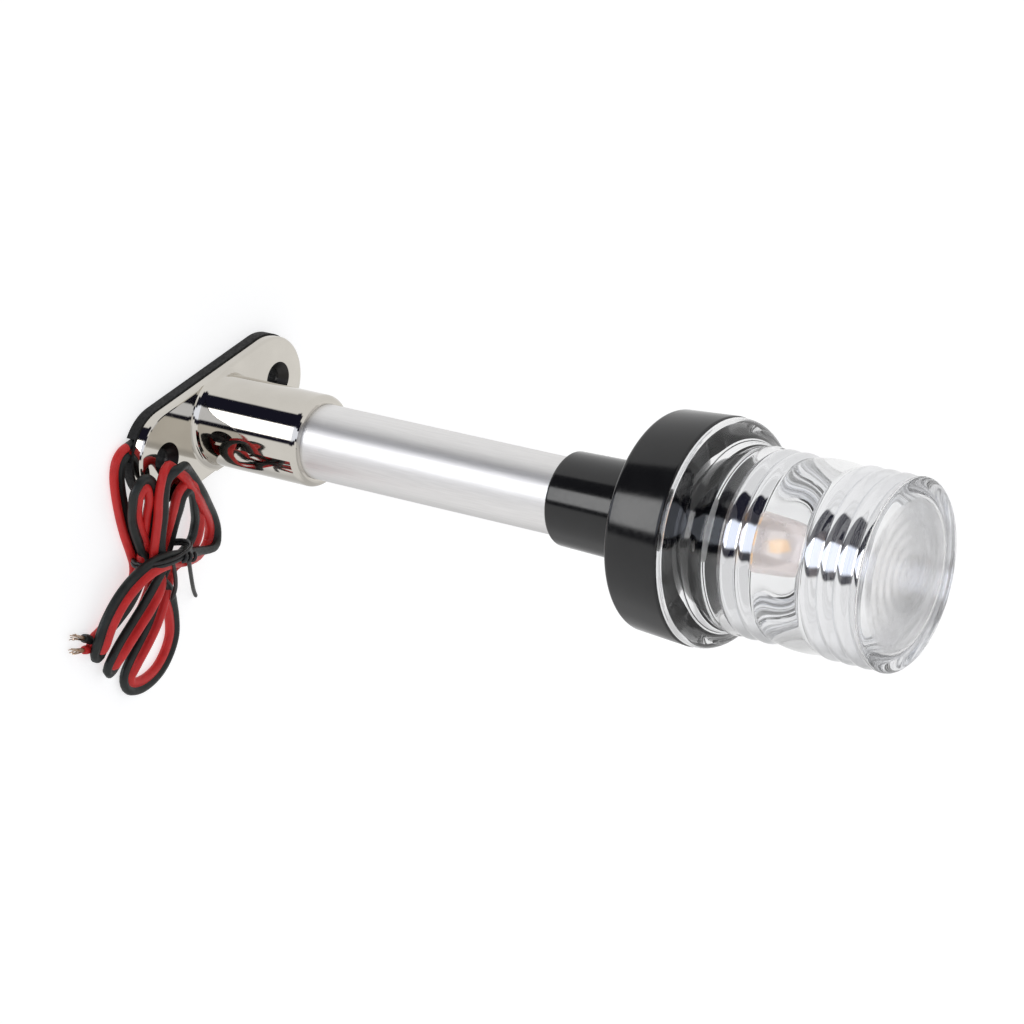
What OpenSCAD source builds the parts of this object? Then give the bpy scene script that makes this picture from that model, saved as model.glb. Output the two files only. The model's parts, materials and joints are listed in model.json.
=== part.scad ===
// All-round white navigation light on a short fixed pole.
// Origin: centre of the base gasket's underside, on the pole's axis. +Z runs up the pole, +X along the
// base's long axis, towards the end where the cord leaves. Millimetres.

/* [Base] */
// Length of the base plate, over its round ends
base_length = 75; // [68:1:90]
// Width of the base plate
base_width = 28; // [28:0.5:36]
// Thickness of the base plate's edge
base_thickness = 3.2; // [2.5:0.1:5]
// Radius of the plate's upper edge
base_edge_radius = 0.8; // [0.3:0.1:1.5]
// Thickness of the rubber gasket under the plate
gasket_thickness = 3.4; // [3.2:0.1:5]
// Distance between the two mounting screw holes
hole_spacing = 52.5; // [48:0.5:56]
// Diameter of the mounting screw holes
screw_hole_d = 5.8; // [4.5:0.1:6.5]
// Diameter of the countersinks at the plate's face
countersink_d = 10.4; // [8:0.1:11]
// Outer diameter of the socket that holds the pole
socket_d = 27; // [26:0.5:28]
// Height of the socket above the plate
socket_height = 37.2; // [25:0.1:60]

/* [Pole] */
// Outer diameter of the pole
pole_d = 22; // [20:0.5:23]
// Wall thickness of the pole
pole_wall = 1.5; // [1:0.1:2]
// Length of pole that shows between socket and housing
pole_shown = 85.8; // [60:0.1:400]

/* [Housing] */
// Diameter of the housing's neck at its lower end
neck_d = 26.6; // [26:0.1:28]
// Diameter of the housing's neck where it meets the cup
neck_top_d = 28.2; // [27:0.1:30]
// Length of the neck
neck_length = 30.7; // [24:0.1:50]
// Diameter of the cup at its back edge
cup_back_d = 61; // [60:0.5:64]
// Diameter of the cup at its rim
cup_rim_d = 63; // [62:0.5:66]
// Height of the cup
cup_height = 17.2; // [15:0.1:24]

/* [Lens] */
// Diameter of the lens flange
flange_d = 62.6; // [60:0.1:64]
// Height of the lens above the cup's rim
lens_height = 58.7; // [50:0.1:70]
// Diameter over the lower ribs
lower_rib_d = 51.4; // [50:0.1:54]
// Diameter over the upper ribs
upper_rib_d = 52; // [50:0.1:54]
// Height of one rib along the lens
rib_pitch = 4.85; // [4:0.05:6]
// Depth of the grooves between the ribs
rib_depth = 0.9; // [0.3:0.1:1.5]
// Rise of the lens for each turn of its thread
thread_lead = 3.6; // [2:0.1:5]

/* [LED capsule] */
// Outer diameter of the capsule's clear dome
dome_d = 15.2; // [12:0.1:20]
// Height of the dome's tip above the cup's rim
dome_top = 27.5; // [22:0.5:35]
// Distance across the flats of the six-sided LED carrier
carrier_across = 10.4; // [8:0.1:12]

/* [Cord] */
// Diameter of each insulated wire
wire_d = 2.7; // [2:0.1:2.8]
// Height of the lower part of the hank above the surface
hank_height = 11; // [8:0.5:16]

/* [Hidden] */
$fn = 64;

play = 0.05;
overlap = 1;

// Heights above the mounting surface
plate_top = gasket_thickness + base_thickness;
collar_top = plate_top + socket_height;
neck_bottom = collar_top + pole_shown;
cup_bottom = neck_bottom + neck_length;
cup_rim = cup_bottom + cup_height;
lens_top = cup_rim + lens_height;

// Socket and pole
socket_rim_radius = 2;
socket_fillet = 2;
pole_ledge = plate_top + 2;
pole_top = neck_bottom + 20.4;
cable_hole_r = 8.5;
set_screw_r = 2;
set_screw_z = plate_top + 19;

// Housing and lens seat
cup_floor = cup_bottom + 3.2;
skirt_r = 27;
skirt_wall = 2.6;
skirt_length = 10.5;
skirt_gap = 0.35;
seal_section = 1.7;
seal_r = 28.25;
seal_drop = 2.2;
shoulder_height = 9.8;
lens_wall = 3.2;
lens_end_wall = 4.2;
lens_corner = 4.6;
band_height = 15.2;
lower_ribs = 3;
upper_ribs = 4;
rib_steps = 6;

// Bulb holder and capsule
holder_r = 7.5;
holder_flange_r = 12;
holder_flange_t = 2.5;
holder_top = cup_rim + 4.5;
holder_screw_x = 9.6;
tray_t = 1;
wedge = [9.4, 2.4, 9];
slot = [10.2, 3.1];
capsule_bottom = holder_top + 0.3;
capsule_collar_top = cup_rim + 11.5;
dome_r = dome_d / 2;
dome_wall = 1.1;
dome_tip = cup_rim + dome_top;
carrier_top = capsule_collar_top + 9.5;
chip = [3.5, 0.7, 2.8];
led_turn = -12;

// Cord: the twin lead leaves the gasket's channel and runs to the hank's tie
wire_r = wire_d / 2;
channel_y = -7;
channel = [40, 5.8, 3];
lead_height = 1.6;
tie_place = [36, 28, 0];
hank_turn = -25;
waist = [17, 5, 9];
tie_wall = 1.2;
exit_route = [[36.4, -7, 1.6], [38.2, -7, 1.6], [40.6, -5.6, 1.6], [42.2, -2.6, 1.6], [43, 1.6, 1.6],
    [43.3, 6.4, 1.6], [43.3, 11.4, 1.6], [42.9, 16.8, 1.6], [42.1, 22.4, 1.6]];
red_end_route = [[66, 40.8, 1.6], [68.5, 39.9, 1.6], [71, 39, 1.6]];
black_end_route = [[63.5, 38.6, 1.6], [66, 37.4, 1.6], [68.5, 36.2, 1.6]];

// Points of a circular arc about [x, y] from angle a0 to a1
function arc(x, y, r, a0, a1, steps = 8) =
    [for (i = [0:steps]) let (a = a0 + (a1 - a0) * i / steps) [x + r * cos(a), y + r * sin(a)]];

// Sections of a tube along a route, with one ring of points for each route point
function direction(route, i) =
    let (a = route[max(i - 1, 0)], b = route[min(i + 1, len(route) - 1)]) (b - a) / norm(b - a);
function ring(centre, d, up, half_width, half_height, sides) =
    let (u = cross(up, d) / norm(cross(up, d)), v = cross(d, u))
    [for (k = [0:sides - 1]) let (a = 360 * (k + 0.5) / sides)
        centre + u * half_width * cos(a) + v * half_height * sin(a)];

// A closed tube swept along a route of points. up is a direction that no stretch of the route follows.
module swept_tube(route, half_width, half_height, up = [0, 0, 1], sides = 8) {
    rings = len(route);
    points = [for (i = [0:rings - 1]) each ring(route[i], direction(route, i), up,
        half_width, half_height, sides)];
    walls = [for (i = [0:rings - 2], k = [0:sides - 1]) let (n = (k + 1) % sides)
        [i * sides + k, i * sides + n, (i + 1) * sides + n, (i + 1) * sides + k]];
    start = [for (k = [sides - 1:-1:0]) k];
    finish = [for (k = [0:sides - 1]) (rings - 1) * sides + k];
    polyhedron(points, concat(walls, [start, finish]));
}

// A flat strip with round ends, lying along X
module obround(length, width) {
    for (s = [-1, 1])
        translate([s * (length - width) / 2, 0])
            circle(d = width);
    square([length - width, width], center = true);
}

// An obround slab with a rounded upper edge
module rounded_slab(length, width, height, edge) {
    half = concat([[0, 0], [width / 2, 0]], arc(width / 2 - edge, height - edge, edge, 0, 90, 4),
        [[0, height]]);
    for (s = [-1, 1])
        translate([s * (length - width) / 2, 0, 0])
            rotate_extrude()
                polygon(half);
    for (m = [0, 1])
        mirror([0, m, 0])
            rotate([90, 0, 90])
                translate([0, 0, -(length - width) / 2])
                    linear_extrude(length - width)
                        polygon(half);
}

module base_gasket() {
    color("#1c1c1c")
        difference() {
            linear_extrude(gasket_thickness)
                obround(base_length + 0.8, base_width + 0.8);
            translate([0, 0, -overlap])
                cylinder(r = cable_hole_r + 1.5, h = gasket_thickness + 2 * overlap);
            for (s = [-1, 1])
                translate([s * hole_spacing / 2, 0, -overlap])
                    cylinder(d = screw_hole_d, h = gasket_thickness + 2 * overlap);
            translate([0, channel_y - channel[1] / 2, -overlap])
                cube([channel[0], channel[1], channel[2] + overlap]);
        }
}

// The socket's outer wall, with a fillet at its foot and a rounded rim
module socket_body() {
    r = socket_d / 2;
    foot = arc(r + socket_fillet, socket_fillet, socket_fillet, 270, 180, 6);
    rim = arc(r - socket_rim_radius, socket_height - socket_rim_radius, socket_rim_radius, 0, 90, 6);
    rotate_extrude()
        polygon(concat([[0, -overlap], [r + socket_fillet, -overlap]], foot, rim, [[0, socket_height]]));
}

module base_plate() {
    sink_depth = (countersink_d - screw_hole_d) / 2;
    color("#c8c0b8")
        difference() {
            union() {
                translate([0, 0, gasket_thickness])
                    rounded_slab(base_length, base_width, base_thickness, base_edge_radius);
                intersection() {
                    translate([0, 0, plate_top])
                        socket_body();
                    linear_extrude(collar_top)
                        obround(base_length, base_width);
                }
            }
            cylinder(r = cable_hole_r, h = collar_top);
            translate([0, 0, pole_ledge])
                cylinder(d = pole_d + 2 * play, h = socket_height);
            for (s = [-1, 1])
                translate([s * hole_spacing / 2, 0, 0]) {
                    cylinder(d = screw_hole_d, h = plate_top + overlap);
                    translate([0, 0, plate_top - sink_depth])
                        cylinder(d1 = screw_hole_d, d2 = countersink_d, h = sink_depth);
                }
            translate([0, 0, set_screw_z])
                rotate([-90, 0, 0])
                    cylinder(r = set_screw_r, h = socket_d);
        }
}

module pole_set_screw() {
    length = socket_d / 2 - pole_d / 2 - 0.4;
    color("#8a8a8a")
        translate([0, pole_d / 2 + play, set_screw_z])
            rotate([-90, 0, 0])
                difference() {
                    cylinder(r = set_screw_r - play, h = length);
                    translate([0, 0, 0.8])
                        cylinder(r = 1.1, h = length, $fn = 6);
                }
}

module pole_tube() {
    color("#d5d5d3")
        translate([0, 0, pole_ledge])
            difference() {
                cylinder(d = pole_d, h = pole_top - pole_ledge);
                translate([0, 0, -overlap])
                    cylinder(d = pole_d - 2 * pole_wall, h = pole_top);
            }
}

module cable_grommet() {
    color("#202020")
        translate([0, 0, pole_ledge + 1])
            difference() {
                cylinder(d = pole_d - 2 * pole_wall - 2 * play, h = 8);
                for (s = [-1, 1])
                    translate([0, s * 1.6, -overlap])
                        cylinder(r = wire_r + play, h = 8 + 2 * overlap);
            }
}

module lamp_housing() {
    back_edge = 1.6;
    rim_edge = 0.8;
    neck_edge = 1;
    neck_r = neck_d / 2;
    outer = concat(
        [[0, neck_bottom]],
        arc(neck_r - neck_edge, neck_bottom + neck_edge, neck_edge, -90, 0, 4),
        [[neck_top_d / 2, cup_bottom]],
        arc(cup_back_d / 2 - back_edge, cup_bottom + back_edge, back_edge, -90, 0, 6),
        arc(cup_rim_d / 2 - rim_edge, cup_rim - rim_edge, rim_edge, 0, 90, 4),
        [[0, cup_rim]]);
    color("#2a2a2a")
        difference() {
            rotate_extrude()
                polygon(outer);
            translate([0, 0, neck_bottom - overlap])
                cylinder(d = pole_d + 2 * play, h = pole_top - neck_bottom + overlap);
            translate([0, 0, neck_bottom])
                cylinder(r = 8, h = neck_length + cup_height);
            translate([0, 0, cup_floor])
                cylinder(r = skirt_r + skirt_gap, h = cup_height);
            translate([0, 0, cup_rim - seal_drop])
                cylinder(r = seal_r + seal_section / 2 + skirt_gap, h = seal_drop + overlap);
            for (s = [-1, 1])
                translate([s * holder_screw_x, 0, cup_floor - 2.6])
                    cylinder(r = 1.25 + play, h = 3);
        }
}

// Dark dish round the holder, which closes the housing under the capsule
module holder_tray() {
    floor_z = cup_floor + holder_flange_t;
    lip = [23.6, cup_rim - 3];
    color("#1e1e1e")
        difference() {
            rotate_extrude()
                polygon([[holder_r + 0.1, floor_z], [14, floor_z], [lip[0], lip[1] - tray_t], lip,
                    [lip[0] - 1.2, lip[1]], [13.6, floor_z + tray_t], [holder_r + 0.1, floor_z + tray_t]]);
            for (s = [-1, 1])
                translate([s * holder_screw_x, 0, floor_z - overlap])
                    cylinder(r = 1.5, h = 3 * overlap);
        }
}

module bulb_holder() {
    pocket = [3.2, 5];
    color("#242424")
        difference() {
            union() {
                translate([0, 0, cup_floor])
                    cylinder(r = holder_flange_r, h = holder_flange_t);
                translate([0, 0, cup_floor])
                    cylinder(r = holder_r, h = holder_top - cup_floor);
            }
            translate([-slot[0] / 2, -slot[1] / 2, holder_top - wedge[2] - 0.6])
                cube([slot[0], slot[1], wedge[2] + overlap]);
            translate([-pocket[0] / 2, -pocket[1] / 2, cup_floor - overlap])
                cube([pocket[0], pocket[1], holder_top - cup_floor + 2 * overlap]);
            for (s = [-1, 1])
                translate([s * holder_screw_x, 0, cup_floor - overlap])
                    cylinder(r = 1.5, h = holder_flange_t + 2 * overlap);
        }
}

// Two leaf contacts that grip the capsule's folded wires
module holder_contacts() {
    color("#c9a24a")
        for (s = [-1, 1])
            mirror([0, s > 0 ? 0 : 1, 0]) {
                translate([-1.4, 1.8, cup_floor - 1])
                    cube([2.8, 0.6, holder_top - cup_floor - 0.5]);
                translate([-0.5, 1.8, cup_floor - 4.5])
                    cube([1, 0.6, 4]);
            }
}

module holder_screws() {
    head_z = cup_floor + holder_flange_t + tray_t;
    head_h = 1.7;
    color("#b8b8b8")
        for (s = [-1, 1])
            translate([s * holder_screw_x, 0, 0])
                difference() {
                    union() {
                        translate([0, 0, head_z])
                            cylinder(r = 1.9, h = head_h);
                        translate([0, 0, cup_floor - 2.2])
                            cylinder(r = 1.25, h = head_z - cup_floor + 2.7);
                    }
                    for (a = [0, 90])
                        translate([0, 0, head_z + head_h])
                            rotate([0, 0, a])
                                cube([2.2, 0.5, 1.4], center = true);
                }
}

// Heat-shrink sleeves over the joints between leads and contact tails
module splice_sleeves() {
    color("#151515")
        for (s = [-1, 1])
            translate([0, s * 2.1, cup_floor - 12.5])
                cylinder(r = 1.9, h = 8, $fn = 32);
}

// One lead: down the pole, round the bend under the plate and along the gasket's channel
module lead(side) {
    reach = side * (wire_r + 0.02);
    route = [[0, side * 2.1, cup_floor - 12.5], [0, side * 2.1, cup_floor - 16],
        [0, side * 1.6, pole_top - 12], [0, side * 1.6, 100], [0, side * 1.6, 60], [0, side * 1.6, 20],
        [0, side * 1.6, 9.4], [0.8 + side, side * 1.25 - 1.2, 6.2], [3 + side * 1.2, side * 0.9 - 4.2, 3.2],
        [6.5 + side * 0.5, channel_y + 0.3 + reach, 1.8], [10, channel_y + reach, lead_height],
        [20, channel_y + reach, lead_height], [exit_route[0][0], channel_y + reach, lead_height]];
    swept_tube(route, wire_r, wire_r, [0, 1, 0]);
}

module lead_red() {
    color("#d8352f")
        lead(1);
}

module lead_black() {
    color("#3f4644")
        lead(-1);
}

module lens_seal() {
    color("#181818")
        translate([0, 0, cup_rim - seal_drop / 2])
            rotate_extrude()
                translate([seal_r, 0])
                    circle(d = seal_section, $fn = 32);
}

// Outline of a stack of ribs, from height z upwards. The last one stops after so many of its steps.
function ribs(z, crest_r, count, last = rib_steps) =
    [for (i = [0:count - 1], k = [0:i == count - 1 ? last : rib_steps]) if (k > 0 || i == 0)
        [crest_r - rib_depth * (1 - sin(180 * k / rib_steps)), z + rib_pitch * (i + k / rib_steps)]];

// Clear lens: threaded skirt, flange, shoulder, three lower ribs, plain band, four upper ribs, flat end
module lens() {
    low_z = cup_rim + shoulder_height;
    band_z = low_z + lower_ribs * rib_pitch;
    high_z = band_z + band_height;
    crest_z = high_z + (upper_ribs - 0.5) * rib_pitch;
    neck_r = lower_rib_d / 2 - rib_depth;
    end_r = upper_rib_d / 2 - rib_depth;
    inner_r = lower_rib_d / 2 - lens_wall;
    skirt_in = skirt_r - skirt_wall;
    outer = concat(
        [[skirt_in, cup_rim - skirt_length], [skirt_r, cup_rim - skirt_length], [skirt_r, cup_rim],
            [flange_d / 2 - 0.4, cup_rim], [flange_d / 2, cup_rim + 0.4]],
        arc(flange_d / 2 - 6, cup_rim + 1, 6, 0, 62, 6),
        [[neck_r + 1.1, low_z - 2.2], [neck_r + 0.2, low_z - 0.8]],
        ribs(low_z, lower_rib_d / 2, lower_ribs),
        [for (k = [1:5]) let (t = k / 6) [neck_r + (end_r - neck_r) * t + 0.9 * sin(180 * t),
            band_z + band_height * t]],
        ribs(high_z, upper_rib_d / 2, upper_ribs, rib_steps / 2),
        [for (a = [18:18:90]) [upper_rib_d / 2 - lens_corner * (1 - cos(a)),
            crest_z + (lens_top - crest_z) * sin(a)]],
        [[0, lens_top]]);
    inner = concat(
        [[0, lens_top - lens_end_wall]],
        arc(inner_r - 3, lens_top - lens_end_wall - 3, 3, 90, 0, 5),
        [[inner_r, low_z - 1], [skirt_in, cup_rim + 5]]);
    color("#f4f4f4", 0.35)
        rotate_extrude()
            polygon(concat(outer, inner));
}

module bulb_base() {
    color("#f0f0ec")
        union() {
            translate([-wedge[0] / 2, -wedge[1] / 2, capsule_bottom - wedge[2]])
                cube([wedge[0], wedge[1], wedge[2] + overlap]);
            translate([0, 0, capsule_bottom])
                cylinder(r = dome_r - 0.4, h = capsule_collar_top - capsule_bottom - 1.2);
            translate([0, 0, capsule_bottom + 1.2])
                cylinder(r = dome_r, h = capsule_collar_top - capsule_bottom - 1.2);
        }
}

// Folded wires on both faces of the wedge
module bulb_contact_wires() {
    color("#cfcfcf")
        for (sx = [-1, 1], sy = [-1, 1])
            translate([sx, sy * (wedge[1] / 2 + 0.2), capsule_bottom - wedge[2] + 0.6])
                cylinder(r = 0.2, h = wedge[2] - 1.2, $fn = 16);
}

module led_carrier() {
    color("#f6f6f2")
        translate([0, 0, capsule_collar_top])
            rotate([0, 0, led_turn])
                cylinder(d = carrier_across / cos(30), h = carrier_top - capsule_collar_top, $fn = 6);
}

// Six chips round the carrier and one on its end
module led_chips() {
    color("#f0b429") {
        for (a = [0:60:300])
            rotate([0, 0, a + led_turn])
                translate([-chip[0] / 2, -carrier_across / 2 - chip[1], capsule_collar_top + 3.4])
                    cube(chip);
        rotate([0, 0, led_turn])
            translate([-chip[0] / 2, -chip[2] / 2, carrier_top])
                cube([chip[0], chip[2], chip[1]]);
    }
}

// Resistor on each second face of the carrier, below the chip
module led_driver_parts() {
    part = [2, 0.6, 1.2];
    color("#262626")
        for (a = [0:120:240])
            rotate([0, 0, a + led_turn])
                translate([-part[0] / 2, -carrier_across / 2 - part[1], capsule_collar_top + 1])
                    cube(part);
}

module bulb_dome() {
    crown = 5;
    profile_out = concat([[dome_r, capsule_collar_top]],
        arc(dome_r - crown, dome_tip - crown, crown, 0, 90, 8), [[0, dome_tip]]);
    profile_in = concat([[0, dome_tip - dome_wall]],
        arc(dome_r - crown, dome_tip - crown, crown - dome_wall, 90, 0, 8),
        [[dome_r - dome_wall, capsule_collar_top]]);
    color("#f2f2f2", 0.4)
        rotate_extrude()
            polygon(concat(profile_out, profile_in));
}

module cord_exit_run() {
    color("#d8352f")
        swept_tube(exit_route, wire_d, wire_r);
}

// Puts its children in the hank's own frame: the tie at the origin, the long axis along Y
module at_hank() {
    translate(tie_place)
        rotate([0, 0, hank_turn])
            children();
}

// Upper loops: they fan out from the tie and rest on the end of the base plate
module cord_hank_upper() {
    clear_of_plate = 0.3;
    color("#b3312c")
        difference() {
            at_hank()
                linear_extrude(hank_height + 2.5)
                    hull() {
                        translate([-9, -16])
                            circle(r = 7, $fn = 32);
                        translate([9, -17])
                            circle(r = 7, $fn = 32);
                        translate([0, -7])
                            square([waist[0], 9], center = true);
                    }
            linear_extrude(plate_top + clear_of_plate)
                obround(base_length + 2 * clear_of_plate + 0.8, base_width + 2 * clear_of_plate + 0.8);
        }
}

// Lower loops, with the waist that the tie holds
module cord_hank_lower() {
    color("#b3312c")
        at_hank() {
            linear_extrude(waist[2])
                translate([0, 0.1])
                    square([waist[0], waist[1]], center = true);
            linear_extrude(hank_height)
                hull() {
                    translate([0, 7])
                        square([waist[0], 9], center = true);
                    translate([15, 28])
                        circle(r = 9, $fn = 32);
                    translate([-9, 33])
                        circle(r = 9, $fn = 32);
                }
        }
}

module hank_tie() {
    size = [waist[0] + 2 * tie_wall, 4, waist[2] + tie_wall];
    color("#1a1a1a")
        at_hank()
            difference() {
                translate([-size[0] / 2, -size[1] / 2, 0])
                    cube(size);
                translate([-waist[0] / 2, -size[1], -overlap])
                    cube([waist[0], 2 * size[1], waist[2] + overlap]);
            }
}

module cord_end_red() {
    color("#d8352f")
        swept_tube(red_end_route, wire_r, wire_r);
}

module cord_end_black() {
    color("#3f4644")
        swept_tube(black_end_route, wire_r, wire_r);
}

// Bare strands at the two ends
module stripped_strands() {
    color("#b8763c")
        for (tip = [red_end_route[2], black_end_route[2]])
            translate(tip)
                rotate([0, 90, -19])
                    cylinder(r = 0.8, h = 6.5, $fn = 16);
}

base_gasket();
base_plate();
pole_set_screw();
pole_tube();
cable_grommet();
lamp_housing();
holder_tray();
bulb_holder();
holder_contacts();
holder_screws();
splice_sleeves();
lead_red();
lead_black();
lens_seal();
lens();
bulb_base();
bulb_contact_wires();
led_carrier();
led_chips();
led_driver_parts();
bulb_dome();
cord_exit_run();
cord_hank_upper();
cord_hank_lower();
hank_tie();
cord_end_red();
cord_end_black();
stripped_strands();
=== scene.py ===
"""The looks of the navigation light: its pieces, their materials, the studio and the camera.

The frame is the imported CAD's, in metres: the origin is under the base gasket on the pole's axis, +Z runs up
the pole and +X to the end where the cord leaves. Sizes below are in millimetres, as in part.scad, and MM
turns them into metres.
"""

import json
import math

import bmesh
import bpy
import numpy as np
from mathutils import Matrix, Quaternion, Vector


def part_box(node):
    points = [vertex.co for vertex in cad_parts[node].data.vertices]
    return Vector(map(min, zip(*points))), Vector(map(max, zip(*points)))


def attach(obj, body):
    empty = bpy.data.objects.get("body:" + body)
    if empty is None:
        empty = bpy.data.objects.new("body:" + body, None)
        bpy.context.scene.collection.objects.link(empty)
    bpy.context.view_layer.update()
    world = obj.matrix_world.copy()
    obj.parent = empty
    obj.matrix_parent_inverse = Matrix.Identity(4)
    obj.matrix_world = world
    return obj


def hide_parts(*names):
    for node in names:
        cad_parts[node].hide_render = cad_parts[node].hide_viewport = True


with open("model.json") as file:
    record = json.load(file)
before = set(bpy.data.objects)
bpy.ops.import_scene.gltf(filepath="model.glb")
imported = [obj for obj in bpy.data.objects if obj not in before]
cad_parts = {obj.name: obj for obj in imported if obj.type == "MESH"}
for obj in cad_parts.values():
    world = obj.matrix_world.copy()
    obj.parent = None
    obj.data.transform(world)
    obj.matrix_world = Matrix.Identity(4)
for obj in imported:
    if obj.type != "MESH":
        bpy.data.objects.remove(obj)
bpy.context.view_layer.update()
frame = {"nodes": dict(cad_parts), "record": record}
nodes = frame["nodes"]
MM = 0.001


def top(node):
    """Height of a CAD node's highest point, in millimetres."""
    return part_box(node)[1].z / MM


def bottom(node):
    """Height of a CAD node's lowest point, in millimetres."""
    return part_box(node)[0].z / MM


# ---------------------------------------------------------------- camera

CAMERA_PLACE = Vector((0.6624, -0.4708, 0.6382))
CAMERA_AIM = Vector((-0.0378, 0.0364, 0.0784))
CAMERA_ROLL = 103.2  # degrees, so that the pole lies across the picture
CAMERA_LENS = 123.05

camera = bpy.data.objects.new("camera", bpy.data.cameras.new("camera"))
bpy.context.scene.collection.objects.link(camera)
bpy.context.scene.camera = camera
camera.data.lens = CAMERA_LENS
camera.data.sensor_width = 36
camera.location = CAMERA_PLACE
camera.rotation_mode = "QUATERNION"
upright = (CAMERA_AIM - CAMERA_PLACE).to_track_quat("-Z", "Y")
camera.rotation_quaternion = upright @ Quaternion((0, 0, 1), math.radians(CAMERA_ROLL))

# ---------------------------------------------------------------- materials


class Finish:
    """A material with one Principled shader, and the textures that vary it."""

    def __init__(self, name, color, **constants):
        self.material = bpy.data.materials.new(name)
        self.material.use_nodes = True
        self.tree = self.material.node_tree
        self.shader = self.tree.nodes["Principled BSDF"]
        self.shader.inputs["Base Color"].default_value = (*color, 1)
        for socket, value in constants.items():
            self.shader.inputs[socket.replace("_", " ")].default_value = value
        self.bumped = None

    def add(self, kind, **inputs):
        node = self.tree.nodes.new(kind)
        for socket, value in inputs.items():
            node.inputs[socket].default_value = value
        return node

    def noise(self, size, stretch=(1, 1, 1), detail=3.0):
        """Noise with features of that size in millimetres, drawn out by stretch along each axis."""
        place = self.add("ShaderNodeTexCoord")
        scaled = self.add("ShaderNodeMapping", Scale=[1 / s for s in stretch])
        texture = self.add("ShaderNodeTexNoise", Scale=1 / (size * MM), Detail=detail)
        self.tree.links.new(place.outputs["Object"], scaled.inputs["Vector"])
        self.tree.links.new(scaled.outputs["Vector"], texture.inputs["Vector"])
        return texture.outputs[0]

    def color(self, value, low, high):
        ramp = self.add("ShaderNodeValToRGB")
        ramp.color_ramp.elements[0].position, ramp.color_ramp.elements[1].position = 0.3, 0.7
        ramp.color_ramp.elements[0].color, ramp.color_ramp.elements[1].color = (*low, 1), (*high, 1)
        self.tree.links.new(value, ramp.inputs["Fac"])
        self.tree.links.new(ramp.outputs["Color"], self.shader.inputs["Base Color"])
        return self

    def roughness(self, value, low, high):
        span = self.add("ShaderNodeMapRange")
        for socket, number in (("From Min", 0.3), ("From Max", 0.7), ("To Min", low), ("To Max", high)):
            span.inputs[socket].default_value = number
        self.tree.links.new(value, span.inputs["Value"])
        self.tree.links.new(span.outputs["Result"], self.shader.inputs["Roughness"])
        return self

    def bump(self, value, depth):
        """Raises the surface by depth in millimetres where value is 1."""
        node = self.add("ShaderNodeBump", Strength=1.0, Distance=depth * MM)
        self.tree.links.new(value, node.inputs["Height"])
        if self.bumped:
            self.tree.links.new(self.bumped, node.inputs["Normal"])
        self.bumped = node.outputs["Normal"]
        self.tree.links.new(self.bumped, self.shader.inputs["Normal"])
        return self


def polished_steel():
    """Cast stainless steel, polished: a warm mirror with the faint waves that the polishing wheel leaves."""
    steel = Finish("polished_steel", (0.63, 0.6, 0.545), Metallic=1.0, Roughness=0.05)
    steel.color(steel.noise(14), (0.6, 0.57, 0.52), (0.66, 0.63, 0.575))
    steel.roughness(steel.noise(3, detail=5), 0.035, 0.08)
    return steel.bump(steel.noise(9, detail=1), 0.012).bump(steel.noise(0.25, stretch=(6, 1, 1)), 0.0006)


def screw_steel():
    steel = Finish("screw_steel", (0.55, 0.54, 0.52), Metallic=1.0, Roughness=0.3)
    steel.roughness(steel.noise(0.6), 0.22, 0.4)
    return steel.bump(steel.noise(0.15, stretch=(1, 1, 4)), 0.004)


def machined_steel_painted_shade():
    """The plate's steel inside the screw holes, rough as the drill left it, with a near-black colour that is
    painted shade.
    """
    steel = Finish("machined_steel_painted_shade", (0.045, 0.043, 0.042), Metallic=1.0, Roughness=0.4)
    steel.roughness(steel.noise(0.5), 0.3, 0.5)
    return steel.bump(steel.noise(0.2, stretch=(1, 1, 0.3)), 0.01)


def satin_aluminium():
    """Anodised tube with a fine satin grain along its length."""
    tube = Finish("satin_aluminium", (0.74, 0.74, 0.745), Metallic=1.0, Roughness=0.5)
    grain = tube.noise(0.18, stretch=(1, 1, 14), detail=4)
    tube.color(tube.noise(0.5, stretch=(1, 1, 20)), (0.83, 0.82, 0.815), (0.89, 0.88, 0.875))
    tube.roughness(grain, 0.42, 0.5)
    return tube.bump(grain, 0.001)


def black_housing():
    """Glossy black moulded plastic."""
    plastic = Finish("black_housing", (0.011, 0.011, 0.012), Roughness=0.12, IOR=1.5)
    plastic.color(plastic.noise(5), (0.007, 0.007, 0.0075), (0.01, 0.01, 0.0105))
    plastic.roughness(plastic.noise(1.2, detail=5), 0.1, 0.17)
    return plastic.bump(plastic.noise(7, detail=1), 0.01).bump(plastic.noise(0.2), 0.0004)


def rubber():
    """Matte black gasket rubber."""
    gum = Finish("gasket_rubber", (0.01, 0.01, 0.011), Roughness=0.7, IOR=1.4)
    gum.color(gum.noise(1.5, detail=6), (0.006, 0.006, 0.0065), (0.015, 0.0145, 0.014))
    gum.roughness(gum.noise(0.7), 0.55, 0.8)
    return gum.bump(gum.noise(0.22, detail=5), 0.02)


def white_plastic(name="white_plastic", color=(0.8, 0.79, 0.76)):
    plastic = Finish(name, color, Roughness=0.4, IOR=1.5)
    plastic.color(plastic.noise(2), [c * 0.94 for c in color], [min(c * 1.04, 1) for c in color])
    plastic.roughness(plastic.noise(0.8), 0.32, 0.5)
    return plastic.bump(plastic.noise(0.3), 0.004)


def brass():
    metal = Finish("brass_contact", (0.72, 0.5, 0.2), Metallic=1.0, Roughness=0.3)
    metal.color(metal.noise(1.5), (0.6, 0.4, 0.16), (0.76, 0.56, 0.25))
    metal.roughness(metal.noise(0.5), 0.2, 0.4)
    return metal.bump(metal.noise(0.2, stretch=(1, 1, 6)), 0.003)


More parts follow.
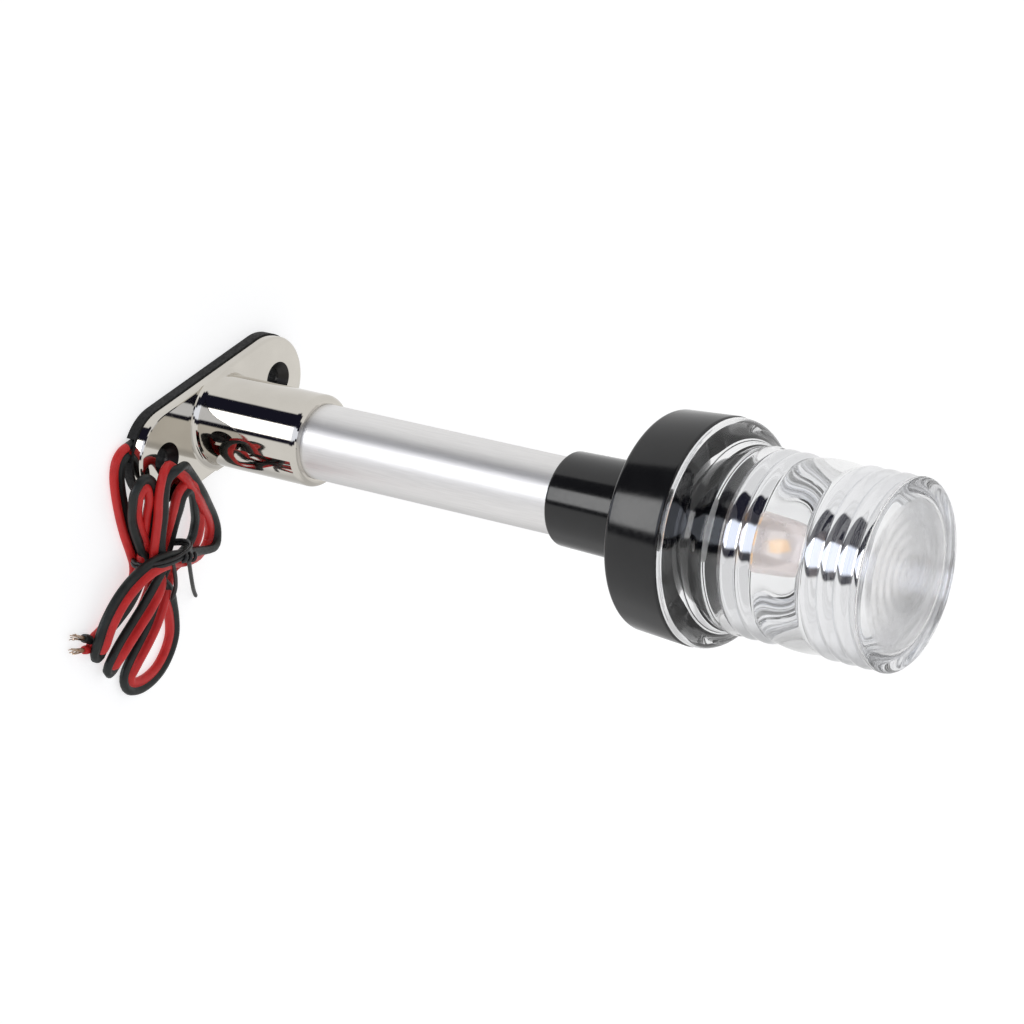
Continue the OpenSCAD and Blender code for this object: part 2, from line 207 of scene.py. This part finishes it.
def vinyl(name, low, high):
    """Soft wire insulation, with the faint lengthwise marks of its extrusion and a dull bloom."""
    skin = Finish(name, high, Roughness=0.42, IOR=1.42)
    skin.color(skin.noise(4, detail=4), low, high)
    skin.roughness(skin.noise(0.9), 0.34, 0.52)
    return skin.bump(skin.noise(0.35, detail=4), 0.012).bump(skin.noise(6), 0.05)


def clear_lens():
    """Clear moulded acrylic with faint flow waves."""
    acrylic = Finish("clear_lens", (0.985, 0.988, 0.992), Roughness=0.0, IOR=1.49)
    acrylic.shader.inputs["Transmission Weight"].default_value = 1.0
    acrylic.roughness(acrylic.noise(6, detail=4), 0.0, 0.02)
    return acrylic.bump(acrylic.noise(11, detail=1), 0.01)


def lens_prisms():
    """The lens's ribs: partly metallic, to stand in for the total reflection inside real prisms."""
    acrylic = Finish("lens_prisms", (0.9, 0.905, 0.92), Roughness=0.04, IOR=1.49, Metallic=0.78)
    acrylic.shader.inputs["Transmission Weight"].default_value = 1.0
    acrylic.roughness(acrylic.noise(3, detail=4), 0.02, 0.09)
    return acrylic.bump(acrylic.noise(5, stretch=(1, 1, 4), detail=2), 0.02)


def lens_end():
    """The lens's end wall, a little frosted."""
    acrylic = Finish("lens_end", (0.98, 0.975, 0.975), Roughness=0.2, IOR=1.49)
    acrylic.shader.inputs["Transmission Weight"].default_value = 0.93
    acrylic.roughness(acrylic.noise(4, detail=4), 0.14, 0.26)
    return acrylic.bump(acrylic.noise(8, detail=2), 0.02)


def clear_dome():
    """The capsule's clear cover, hazy, with a faint painted glow that stands in for the light gathered inside
    the lens.
    """
    cover = Finish("clear_dome", (0.96, 0.94, 0.94), Roughness=0.2, IOR=1.45, Emission_Strength=0.11)
    cover.shader.inputs["Emission Color"].default_value = (1, 0.9, 0.88, 1)
    cover.shader.inputs["Transmission Weight"].default_value = 0.8
    cover.roughness(cover.noise(2), 0.14, 0.28)
    return cover.bump(cover.noise(3.5, detail=1), 0.03)


def phosphor():
    """The yellow gel of an LED, with a faint painted glow like the cover."""
    gel = Finish("led_phosphor", (0.95, 0.55, 0.07), Roughness=0.3, IOR=1.45, Emission_Strength=0.4)
    gel.shader.inputs["Emission Color"].default_value = (1, 0.6, 0.12, 1)
    gel.color(gel.noise(1.1), (0.9, 0.45, 0.04), (1.0, 0.66, 0.14))
    gel.roughness(gel.noise(0.5), 0.2, 0.45)
    return gel.bump(gel.noise(0.4), 0.01)


def dark_parts(name, color, rough):
    body = Finish(name, color, Roughness=rough, IOR=1.5)
    body.color(body.noise(1.2), [c * 0.8 for c in color], [c * 1.4 for c in color])
    body.roughness(body.noise(0.6), rough * 0.8, min(rough * 1.3, 1))
    return body.bump(body.noise(0.25), 0.006)


def bare_strands():
    """Tinned and bare copper, drawn fine."""
    wire = Finish("copper_strands", (0.6, 0.42, 0.3), Metallic=1.0, Roughness=0.3)
    wire.color(wire.noise(1.4), (0.5, 0.3, 0.18), (0.7, 0.6, 0.5))
    wire.roughness(wire.noise(0.5), 0.22, 0.42)
    return wire.bump(wire.noise(0.1), 0.003)


FINISHES = {
    "polished_steel": polished_steel(),
    "machined_steel_painted_shade": machined_steel_painted_shade(),
    "screw_steel": screw_steel(),
    "satin_aluminium": satin_aluminium(),
    "black_housing": black_housing(),
    "gasket_rubber": rubber(),
    "white_plastic": white_plastic(),
    "led_board": white_plastic("led_board", (0.86, 0.86, 0.84)),
    "brass_contact": brass(),
    "red_insulation": vinyl("red_insulation", (0.5, 0.014, 0.014), (0.62, 0.022, 0.02)),
    "black_insulation": vinyl("black_insulation", (0.007, 0.0085, 0.008), (0.017, 0.02, 0.0185)),
    "clear_lens": clear_lens(),
    "lens_prisms": lens_prisms(),
    "lens_end": lens_end(),
    "clear_dome": clear_dome(),
    "led_phosphor": phosphor(),
    "driver_parts": dark_parts("driver_parts", (0.02, 0.02, 0.02), 0.35),
    "black_tie": dark_parts("black_tie", (0.014, 0.014, 0.014), 0.4),
    "copper_strands": bare_strands(),
}
MATERIALS = {slot: finish.material for slot, finish in FINISHES.items()}

# ---------------------------------------------------------------- mesh helpers


def arc(x, z, r, start, end, steps=8):
    """Points of a circular arc about (x, z), from one angle to another in degrees."""
    angles = [math.radians(start + (end - start) * i / steps) for i in range(steps + 1)]
    return [(x + r * math.cos(a), z + r * math.sin(a)) for a in angles]


def add_piece(name, mesh, body, slot, replaced, sharp=32):
    """Puts a mesh in the scene as a piece of the object that rides on a body."""
    mesh.polygons.foreach_set("use_smooth", [True] * len(mesh.polygons))
    mesh.set_sharp_from_angle(angle=math.radians(sharp))
    piece = bpy.data.objects.new(name, mesh)
    bpy.context.scene.collection.objects.link(piece)
    if not mesh.materials:
        mesh.materials.append(MATERIALS[slot])
    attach(piece, body)
    if replaced:
        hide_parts(*replaced)
    return piece


def lathe(name, profile, body, slot, replaced=(), sides=192, sharp=32):
    """Turns a closed outline of (radius, height) points in millimetres round the pole's axis."""
    shape = bmesh.new()
    turns = [2 * math.pi * k / sides for k in range(sides)]
    rings = []
    for r, z in profile:
        if r < 0.001:
            rings.append([shape.verts.new((0, 0, z * MM))] * sides)
        else:
            ring = [(r * MM * math.cos(a), r * MM * math.sin(a), z * MM) for a in turns]
            rings.append([shape.verts.new(place) for place in ring])
    for low, high in zip(rings, rings[1:] + rings[:1]):
        for k in range(sides):
            n = (k + 1) % sides
            corners = list(dict.fromkeys([low[k], low[n], high[n], high[k]]))
            if len(corners) > 2:
                shape.faces.new(corners)
    bmesh.ops.recalc_face_normals(shape, faces=shape.faces)
    mesh = bpy.data.meshes.new(name)
    shape.to_mesh(mesh)
    shape.free()
    return add_piece(name, mesh, body, slot, replaced, sharp)


def smooth_route(points, step):
    """A smooth line through rows of numbers whose first three are a place in millimetres, in even steps."""
    rows = np.array(points, float)
    ends = np.vstack([2 * rows[0] - rows[1], rows, 2 * rows[-1] - rows[-2]])
    fine = []
    for i in range(1, len(ends) - 2):
        a, b, c, d = ends[i - 1 : i + 3]
        t0 = 0.0
        t1 = t0 + np.linalg.norm((b - a)[:3]) ** 0.5
        t2 = t1 + np.linalg.norm((c - b)[:3]) ** 0.5
        t3 = t2 + np.linalg.norm((d - c)[:3]) ** 0.5
        for t in np.linspace(t1, t2, 10, endpoint=False):
            ab = ((t1 - t) * a + (t - t0) * b) / (t1 - t0)
            bc = ((t2 - t) * b + (t - t1) * c) / (t2 - t1)
            cd = ((t3 - t) * c + (t - t2) * d) / (t3 - t2)
            first = ((t2 - t) * ab + (t - t0) * bc) / (t2 - t0)
            second = ((t3 - t) * bc + (t - t1) * cd) / (t3 - t1)
            fine.append(((t2 - t) * first + (t - t1) * second) / (t2 - t1))
    fine = np.array([*fine, rows[-1]])
    run = np.r_[0, np.cumsum(np.linalg.norm(np.diff(fine[:, :3], axis=0), axis=1))]
    places = np.linspace(0, run[-1], max(2, round(run[-1] / step)) + 1)
    return np.column_stack([np.interp(places, run, fine[:, k]) for k in range(fine.shape[1])])


def sides_of(line, roll=None):
    """For each point of a line, the unit vectors to its side and up, turned by roll degrees."""
    along = np.gradient(line, axis=0)
    along /= np.linalg.norm(along, axis=1)[:, None]
    side = np.cross((0, 0, 1), along)
    side /= np.linalg.norm(side, axis=1)[:, None]
    for i in range(1, len(side)):
        if side[i] @ side[i - 1] < 0:
            side[i] *= -1
    up = np.cross(along, side)
    turn = np.radians(np.zeros(len(line)) if roll is None else roll)[:, None]
    return side * np.cos(turn) + up * np.sin(turn), up * np.cos(turn) - side * np.sin(turn)


def sweep(name, line, side, up, section, slot, replaced=(), parts=None, scale=None):
    """A closed tube: a flat section of (side, up) points, all in millimetres, carried along a line."""
    count, around = len(line), len(section)
    grow = np.ones(count) if scale is None else np.array(scale)
    section = np.array(section)
    points = (
        line[:, None]
        + side[:, None] * (section[:, 0] * grow[:, None])[..., None]
        + up[:, None] * (section[:, 1] * grow[:, None])[..., None]
    )
    faces = [
        (row + k, row + (k + 1) % around, row + around + (k + 1) % around, row + around + k)
        for row in range(0, (count - 1) * around, around)
        for k in range(around)
    ]
    faces.append(tuple(range(around - 1, -1, -1)))
    faces.append(tuple((count - 1) * around + k for k in range(around)))
    mesh = bpy.data.meshes.new(name)
    mesh.from_pydata((points.reshape(-1, 3) * MM).tolist(), [], faces)
    if parts:
        order = list(dict.fromkeys(parts))
        for part in order:
            mesh.materials.append(MATERIALS[part])
        sides = [order.index(part) for part in parts] * (count - 1)
        mesh.polygons.foreach_set("material_index", sides + [0, 0])
    mesh.update()
    return add_piece(name, mesh, "root", slot, replaced, sharp=60)


def circle(r, steps=16):
    turns = [2 * math.pi * k / steps for k in range(steps)]
    return [(r * math.cos(a), r * math.sin(a)) for a in turns]


# ---------------------------------------------------------------- cord

WIRE_R = 1.35
# The twin lead's centreline in millimetres, and how far it has rolled in degrees. Its first nine points are
# the run from the gasket's channel to the tie, and then it goes back and forth through the tie.
CORD_ROUTE = [
    (36.4, -7, 1.6, 0), (38.2, -7, 1.6, 0), (40.6, -5.6, 1.6, 0), (42.2, -2.6, 1.6, 0),
    (43, 1.6, 1.6, 0), (43.3, 6.4, 1.6, 0), (43.3, 11.4, 1.6, 0), (42.9, 16.8, 1.6, 0),
    (42.1, 22.4, 1.6, 0), (41.6, 27.4, 1.4, 0), (43, 31.4, 1.4, 0), (46.8, 34, 1.4, 0), (52, 36, 1.4, 0),
    (57.4, 39, 1.4, 0), (61.4, 42.6, 1.5, 0), (64.4, 44.6, 2.1, 0), (66, 43.6, 3.4, -10),
    (65.2, 40.6, 4.9, -25), (62.2, 35.6, 6, -35), (56.7, 30.7, 7, -35), (50.8, 27.6, 8, -35),
    (45, 25.8, 9.4, -35), (39.5, 26.3, 9.8, -20), (34.5, 28.2, 9.4, 0), (29, 31, 8.2, 0),
    (22.8, 34.2, 6, 10), (15.8, 37.2, 3.8, 60), (11, 37.2, 2.8, 120), (9.2, 33.8, 2.6, 160),
    (10.2, 28.8, 3.6, 180), (12.8, 23.8, 5.2, 180), (16.7, 17.4, 7.8, 180), (20.3, 10.6, 9.2, 180),
    (23.6, 5, 10.4, 180), (26.8, 1.2, 11.2, 120), (30.2, 0, 11.2, 40), (33, 2, 10.8, 0),
    (34.6, 6.6, 10, 0), (35.4, 13.2, 8.8, 0), (37, 19.4, 7.8, 0), (38.2, 24.6, 7.2, 20),
    (38.2, 29.4, 7, 100), (39.6, 33.9, 6.8, 180), (44.6, 38.6, 6, 215), (50.6, 42.2, 5.4, 215),
    (56.6, 45.6, 4.9, 210), (61, 48.8, 4.2, 190), (62.4, 51.2, 3, 180), (59.8, 51.6, 1.8, 180),
    (55.4, 49.6, 1.4, 180), (49.6, 46.6, 1.4, 180), (43, 43, 1.4, 180), (37.4, 38, 1.4, 180),
    (33.2, 33, 1.6, 180), (30.6, 28.4, 3, 180), (29, 22.4, 5, 180), (28.2, 15.6, 8, 180),
    (26, 11, 9, 180), (22.6, 10, 9.2, 180), (19.6, 13.2, 8.4, 180), (17.2, 20.4, 6, 180),
    (16.2, 26.8, 4, 180), (18.8, 31.6, 3.6, 180), (24.6, 33.4, 4, 180), (30.8, 33.8, 4.2, 180),
    (34.9, 37.6, 4.2, 200), (38.6, 42.8, 4, 215), (42.8, 47.6, 3.6, 215), (47.4, 51.6, 3, 215),
    (52, 55.2, 2.4, 205), (55, 58.6, 1.8, 190), (54.8, 61.6, 1.5, 180), (51.6, 63.8, 1.4, 180),
    (47, 64.6, 1.4, 180), (41.8, 63.8, 1.4, 180), (37, 61, 1.4, 180), (33.4, 56.8, 1.4, 180),
    (32.2, 51.6, 1.6, 180), (32.8, 46.2, 2.4, 170), (34.6, 40, 3.6, 130), (37.2, 33, 4.3, 60),
    (39.4, 26.6, 4.4, 10), (41, 19.6, 4.6, 0), (42.2, 12, 5, 0), (42.8, 6, 7, 0), (42.2, 2.2, 8.2, 0),
    (39.8, 0.2, 8.8, 0), (37.4, 1.8, 8.6, 0), (36.6, 6.4, 8, 0), (36.7, 12, 6, 0), (37.6, 18, 4.6, 0),
    (40.2, 24, 4.2, 0), (44.4, 29.8, 4.2, 0), (50.4, 35, 3.6, 0), (56.4, 38.6, 2.2, 0),
    (61, 40.2, 1.5, 0), (64.4, 40.8, 1.5, 0),
]
END_RED_ROUTE = [(67, 41.6, 1.5), (69.4, 40.8, 1.6)]
END_BLACK_ROUTE = [(66.6, 38.7, 1.5), (68.6, 37.2, 1.7)]


def figure_eight(r, steps=11, gap=28):
    """Section of two bonded wires side by side, and the finish of each face that starts at a point."""
    angles = np.radians(np.linspace(gap - 180, 180 - gap, steps))
    right = [(r + r * math.cos(a), r * math.sin(a)) for a in angles]
    left = [(-x, -y) for x, y in right]
    return right + left, ["black_insulation"] * steps + ["red_insulation"] * steps


def make_cord():
    rows = smooth_route(CORD_ROUTE, 1.0)
    line, roll = rows[:, :3], rows[:, 3]
    side, up = sides_of(line, roll)
    section, parts = figure_eight(WIRE_R)
    lead = sweep("twin_lead", line, side, up, section, "red_insulation",
                 ("cord_exit_run", "cord_hank_upper", "cord_hank_lower"), parts)
    length = float(np.linalg.norm(np.diff(line, axis=0), axis=1).sum())
    ends = []
    for name, hand, route, slot, node in (
        ("end_red", -1, END_RED_ROUTE, "red_insulation", "cord_end_red"),
        ("end_black", 1, END_BLACK_ROUTE, "black_insulation", "cord_end_black"),
    ):
        start = [tuple(line[-k] + side[-k] * hand * WIRE_R) for k in (3, 1)]
        wire = smooth_route([*start, *route], 0.5)
        s, u = sides_of(wire)
        scale = np.r_[np.ones(len(wire) - 2), 0.97, 0.9]
        ends.append((sweep(name, wire, s, u, circle(WIRE_R), slot, (node,), scale=scale), wire))
    return lead, line, length, ends


def make_strands(name, tip, along, seed, replaced):
    """Fine bare wires that fan out of a cut end, twisted a little together."""
    rng = np.random.default_rng(seed)
    lines = []
    up = np.array((0, 0, 1.0))
    across = np.cross(up, along)
    for k in range(9):
        a = 2 * math.pi * k / 9 + rng.uniform(-0.2, 0.2)
        root_r, tip_r = 0.55, rng.uniform(0.5, 1.5)
        reach = rng.uniform(4.6, 6.4)
        wire = []
        for t in np.linspace(0, 1, 9):
            r = root_r + (tip_r - root_r) * t**2
            turn = a + 1.6 * t
            fan = across * (r * math.cos(turn)) + up * (r * math.sin(turn) * 0.8)
            place = tip + along * (reach * t - 0.6) + fan
            place[2] = max(place[2] - 0.5 * t**2, 0.3)
            wire.append(place)
        lines.append(np.array(wire))
    verts, faces = [], []
    section = np.array(circle(0.16, 6))
    for wire in lines:
        s, u = sides_of(wire)
        base = len(verts)
        for p, a, b in zip(wire, s, u):
            verts += [(p + a * x + b * y) * MM for x, y in section]
        for i in range(len(wire) - 1):
            for k in range(6):
                n = (k + 1) % 6
                faces.append((base + i * 6 + k, base + i * 6 + n, base + i * 6 + 6 + n, base + i * 6 + 6 + k))
        faces.append(tuple(base + k for k in range(5, -1, -1)))
        faces.append(tuple(base + len(wire) * 6 - 6 + k for k in range(6)))
    mesh = bpy.data.meshes.new(name)
    mesh.from_pydata([tuple(v) for v in verts], [], faces)
    return add_piece(name, mesh, "root", "copper_strands", replaced, sharp=60)


TIE_R = 0.55
TIE_CENTRE = np.array((36, 28, 6.0))
TIE_LOOP = (10.2, 6.4)  # half its width and half its height
HANK_TURN = math.radians(-25)


def make_tie():
    """A thin black tie, wound twice round the waist and knotted on top, with its two tails."""
    ex = np.array((math.cos(HANK_TURN), math.sin(HANK_TURN), 0))
    ey = np.array((-math.sin(HANK_TURN), math.cos(HANK_TURN), 0))
    ez = np.array((0, 0, 1.0))
    width, height = TIE_LOOP
    loops = []
    for a in np.linspace(-100, 620, 61):
        r = math.radians(a)
        slope = -2.6 + 2.2 * (a + 100) / 720 + 3 * math.cos(r)
        place = TIE_CENTRE + ex * width * math.cos(r) + ey * slope + ez * height * math.sin(r)
        place[2] = max(place[2], TIE_R + 0.05)
        loops.append(tuple(place))
    coil = smooth_route(loops, 0.7)
    pieces = []
    s, u = sides_of(coil)
    pieces.append(sweep("tie_loops", coil, s, u, circle(TIE_R, 12), "black_tie", ("hank_tie",)))
    knot = TIE_CENTRE + ex * -4.6 + ey * -1.4 + ez * 6.2
    turns = []
    for a in np.linspace(0, 900, 46):
        r = math.radians(a)
        turns.append(tuple(knot + ex * (2.6 - 5.2 * a / 900) + ey * 1.1 * math.cos(r) + ez * math.sin(r)))
    wound = smooth_route(turns, 0.5)
    s, u = sides_of(wound)
    pieces.append(sweep("tie_knot", wound, s, u, circle(TIE_R, 12), "black_tie"))
    for name, route in (
        ("tie_tail", [(32, 29, 11.6), (30.6, 30.4, 11.4), (29, 33.6, 9.8), (26.4, 39.1, 7), (24.1, 44, 4.6),
                      (21.8, 48, 2.4), (19.6, 51.6, 0.7)]),
        ("tie_tail_short", [(37.5, 26.4, 11.8), (36.4, 29.8, 10.8), (35.1, 34.7, 9.2), (34.3, 39, 7.4),
                            (35.4, 42.4, 6.2)]),
    ):
        tail = smooth_route(route, 0.5)
        s, u = sides_of(tail)
        scale = np.r_[np.ones(len(tail) - 3), 0.9, 0.7, 0.35]
        pieces.append(sweep(name, tail, s, u, circle(TIE_R * 1.15, 12), "black_tie", scale=scale))
    return pieces


lead, lead_line, lead_length, lead_ends = make_cord()
for (end, wire), (name, seed, replaced) in zip(
    lead_ends, (("strands_red", 3, ("stripped_strands",)), ("strands_black", 8, ()))
):
    heading = (wire[-1] - wire[-3]) / np.linalg.norm(wire[-1] - wire[-3])
    make_strands(name, wire[-1], heading, seed, replaced)
ties = make_tie()

# ---------------------------------------------------------------- turned pieces

cup_rim = top("lamp_housing")
neck_bottom = bottom("lamp_housing")
lens_top = top("lens")
dome_tip, dome_foot = top("bulb_dome"), bottom("bulb_dome")


RIB_PITCH = 4.85
RIB_DEPTH = 0.9
RIB_STEPS = 12


def ribs(z, crest, count, last=RIB_STEPS):
    """Outline of a stack of ribs, from height z upwards. The last one stops after so many of its steps."""
    return [
        (crest - RIB_DEPTH * (1 - math.sin(math.pi * k / RIB_STEPS)), z + RIB_PITCH * (i + k / RIB_STEPS))
        for i in range(count)
        for k in range(0 if i == 0 else 1, (last if i == count - 1 else RIB_STEPS) + 1)
    ]


def make_lens():
    skirt_in, skirt_r, skirt_low = 24.4, 27, bottom("lens")
    low_z = cup_rim + 9.8
    band_z = low_z + 3 * RIB_PITCH
    high_z = band_z + 15.2
    crest_z = high_z + 3.5 * RIB_PITCH
    neck_r, end_r, inner_r = 24.8, 25.1, 22.5
    end_wall = 4.2
    outer = [(skirt_in, skirt_low), (skirt_r - 0.4, skirt_low), (skirt_r, skirt_low + 0.4)]
    outer += [(skirt_r, cup_rim), (30.9, cup_rim), (31.3, cup_rim + 0.4)]
    outer += arc(25.3, cup_rim + 1, 6, 0, 62, 14)
    outer += [(neck_r + 1.1, low_z - 2.2), (neck_r + 0.2, low_z - 0.8)]
    outer += ribs(low_z, 25.7, 3)
    outer += [
        (neck_r + (end_r - neck_r) * t + 0.9 * math.sin(math.pi * t), band_z + (high_z - band_z) * t)
        for t in np.linspace(0, 1, 14)[1:-1]
    ]
    outer += ribs(high_z, 26, 4, last=RIB_STEPS // 2)
    outer += [(26 - 4.6 * (1 - math.cos(a)), crest_z + (lens_top - crest_z) * math.sin(a))
              for a in np.linspace(0, math.pi / 2, 14)[1:]]
    outer += [(0, lens_top)]
    rings = [(r, lens_top - end_wall + 0.025 * (1 - math.cos(1.7 * r))) for r in np.linspace(0, 19, 58)]
    inner = rings + arc(inner_r - 3, lens_top - end_wall - 3, 3, 85, 0, 8)
    inner += [(inner_r, low_z - 1), (skirt_in, cup_rim + 5)]
    lens = lathe("lens_body", outer + inner, "lens", "clear_lens", ("lens",), sides=240, sharp=50)
    lens.data.materials.append(MATERIALS["lens_prisms"])
    lens.data.materials.append(MATERIALS["lens_end"])
    for face in lens.data.polygons:
        height, reach = face.center.z / MM, math.hypot(*face.center[:2]) / MM
        if reach > 24.7 and (low_z + RIB_PITCH < height < band_z or high_z < height < crest_z):
            face.material_index = 1
        elif height > lens_top - 5 and reach < 20.5:
            face.material_index = 2
    return lens


def make_housing():
    cup_bottom, cup_floor = cup_rim - 17.2, cup_rim - 14
    outline = [(11.05, neck_bottom)] + arc(12.3, neck_bottom + 1, 1, -90, 0, 6) + [(14.0, cup_bottom - 0.5)]
    outline += arc(15.2, cup_bottom - 0.6, 0.7, 180, 90, 4)[1:]
    outline += arc(28.9, cup_bottom + 1.6, 1.6, -90, 0, 8) + arc(30.7, cup_rim - 0.8, 0.8, 0, 90, 6)
    outline += [(29.45, cup_rim), (29.45, cup_rim - 2.2), (27.35, cup_rim - 2.2), (27.35, cup_floor),
                (8, cup_floor), (8, neck_bottom + 20.4), (11.05, neck_bottom + 20.4)]
    return lathe("housing_body", outline, "root", "black_housing", ("lamp_housing",))


def make_dome():
    r, crown, wall = 7.6, 5, 1.1
    outline = [(r, dome_foot)] + arc(r - crown, dome_tip - crown, crown, 0, 90, 14) + [(0, dome_tip)]
    outline += [(0, dome_tip - wall)] + arc(r - crown, dome_tip - crown, crown - wall, 90, 0, 14)
    outline += [(r - wall, dome_foot)]
    return lathe("dome_cover", outline, "capsule", "clear_dome", ("bulb_dome",), sides=96)


make_lens()
make_housing()
make_dome()

# CAD nodes whose shape is right keep it, and take their slot's finish
for part in frame["record"]["subparts"]:
    piece = nodes[part["node"]]
    if not piece.hide_render:
        piece.data.materials.clear()
        piece.data.materials.append(MATERIALS[part["material_slot"]])

# Inside the screw holes the plate is not polished, and its near-black colour there is painted shade
SCREW_HOLE_X = 26.25
plate = nodes["base_plate"].data
plate.materials.append(MATERIALS["machined_steel_painted_shade"])
for face in plate.polygons:
    reach = math.hypot(abs(face.center.x) / MM - SCREW_HOLE_X, face.center.y / MM)
    if reach < 5.1 and abs(face.normal.z) < 0.98:
        face.material_index = 1

# ---------------------------------------------------------------- studio

# Brightness of the studio's wall by compass angle in degrees, counted from +X towards +Y: black flags on
# both sides of a softbox, and plain white paper all round the rest
WALL = [(-180, 0.9), (-89, 0.9), (-86, 0.012), (-54, 0.012), (-51, "box"), (-22, "box"), (-19, 0.012),
        (-11, 0.012), (-8, 0.9), (70, 0.9), (90, 0.62), (112, 0.62), (144, 0.95), (180, 0.9)]
BRIGHTEST = 5.0
# The softbox is brightest round one height, the sine of its elevation, and bluer and dimmer elsewhere
SOFTBOX_HEIGHT = -0.54
SOFTBOX_CORE = (4.6, 4.6, 4.6)
SOFTBOX_EDGE = (1.08, 1.15, 1.32)


def make_world():
    world = bpy.data.worlds.new("studio")
    bpy.context.scene.world = world
    world.use_nodes = True
    tree = world.node_tree
    link = tree.links.new

    def math_node(operation, source, value=None):
        node = tree.nodes.new("ShaderNodeMath")
        node.operation = operation
        link(source, node.inputs[0])
        if value is not None:
            node.inputs[1].default_value = value
        return node.outputs["Value"]

    def wall(softbox):
        ramp = tree.nodes.new("ShaderNodeValToRGB")
        elements = ramp.color_ramp.elements
        while len(elements) < len(WALL):
            elements.new(0.5)
        for element, (azimuth, _) in zip(elements, WALL):
            element.position = (azimuth + 180) / 360
        for element, (_, light) in zip(elements, WALL):
            color = softbox if light == "box" else (light, light, light if light > 0.1 else 2 * light)
            element.color = (*[c / BRIGHTEST for c in color], 1)
        link(turn.outputs["Result"], ramp.inputs["Fac"])
        return ramp.outputs["Color"]

    place = tree.nodes.new("ShaderNodeTexCoord")
    split = tree.nodes.new("ShaderNodeSeparateXYZ")
    link(place.outputs["Generated"], split.inputs["Vector"])
    angle = math_node("ARCTAN2", split.outputs["Y"])
    link(split.outputs["X"], angle.node.inputs[1])
    turn = tree.nodes.new("ShaderNodeMapRange")
    turn.inputs["From Min"].default_value, turn.inputs["From Max"].default_value = -math.pi, math.pi
    link(angle, turn.inputs["Value"])
    middle = tree.nodes.new("ShaderNodeMapRange")
    middle.interpolation_type = "SMOOTHSTEP"
    middle.inputs["From Min"].default_value, middle.inputs["From Max"].default_value = 0.09, 0.2
    middle.inputs["To Min"].default_value, middle.inputs["To Max"].default_value = 1, 0
    off_height = math_node("SUBTRACT", split.outputs["Z"], SOFTBOX_HEIGHT)
    link(math_node("ABSOLUTE", off_height), middle.inputs["Value"])
    mix = tree.nodes.new("ShaderNodeMix")
    mix.data_type = "RGBA"
    link(middle.outputs["Result"], mix.inputs["Factor"])
    link(wall(SOFTBOX_EDGE), mix.inputs["A"])
    link(wall(SOFTBOX_CORE), mix.inputs["B"])
    background = tree.nodes["Background"]
    background.inputs["Strength"].default_value = BRIGHTEST
    link(mix.outputs["Result"], background.inputs["Color"])


def make_floor():
    paper = Finish("floor_paper", (0.5, 0.5, 0.5), Roughness=0.9, Emission_Strength=0.64)
    paper.shader.inputs["Emission Color"].default_value = (1, 1, 1, 1)
    paper.color(paper.noise(60), (0.49, 0.49, 0.49), (0.51, 0.51, 0.51))
    mesh = bpy.data.meshes.new("floor")
    half = 3.0
    corners = [(-half, -half, 0), (half, -half, 0), (half, half, 0), (-half, half, 0)]
    mesh.from_pydata(corners, [], [(0, 1, 2, 3)])
    mesh.materials.append(paper.material)
    floor = bpy.data.objects.new("floor", mesh)
    bpy.context.scene.collection.objects.link(floor)
    floor.location.z = -0.0001
    # Metal and clear parts show the room, not the floor
    floor.visible_glossy = False
    floor.visible_transmission = False


make_world()
make_floor()
scene = bpy.context.scene
scene.view_settings.view_transform = "Standard"
scene.cycles.max_bounces = 20
scene.cycles.transmission_bounces = 16
scene.cycles.glossy_bounces = 8
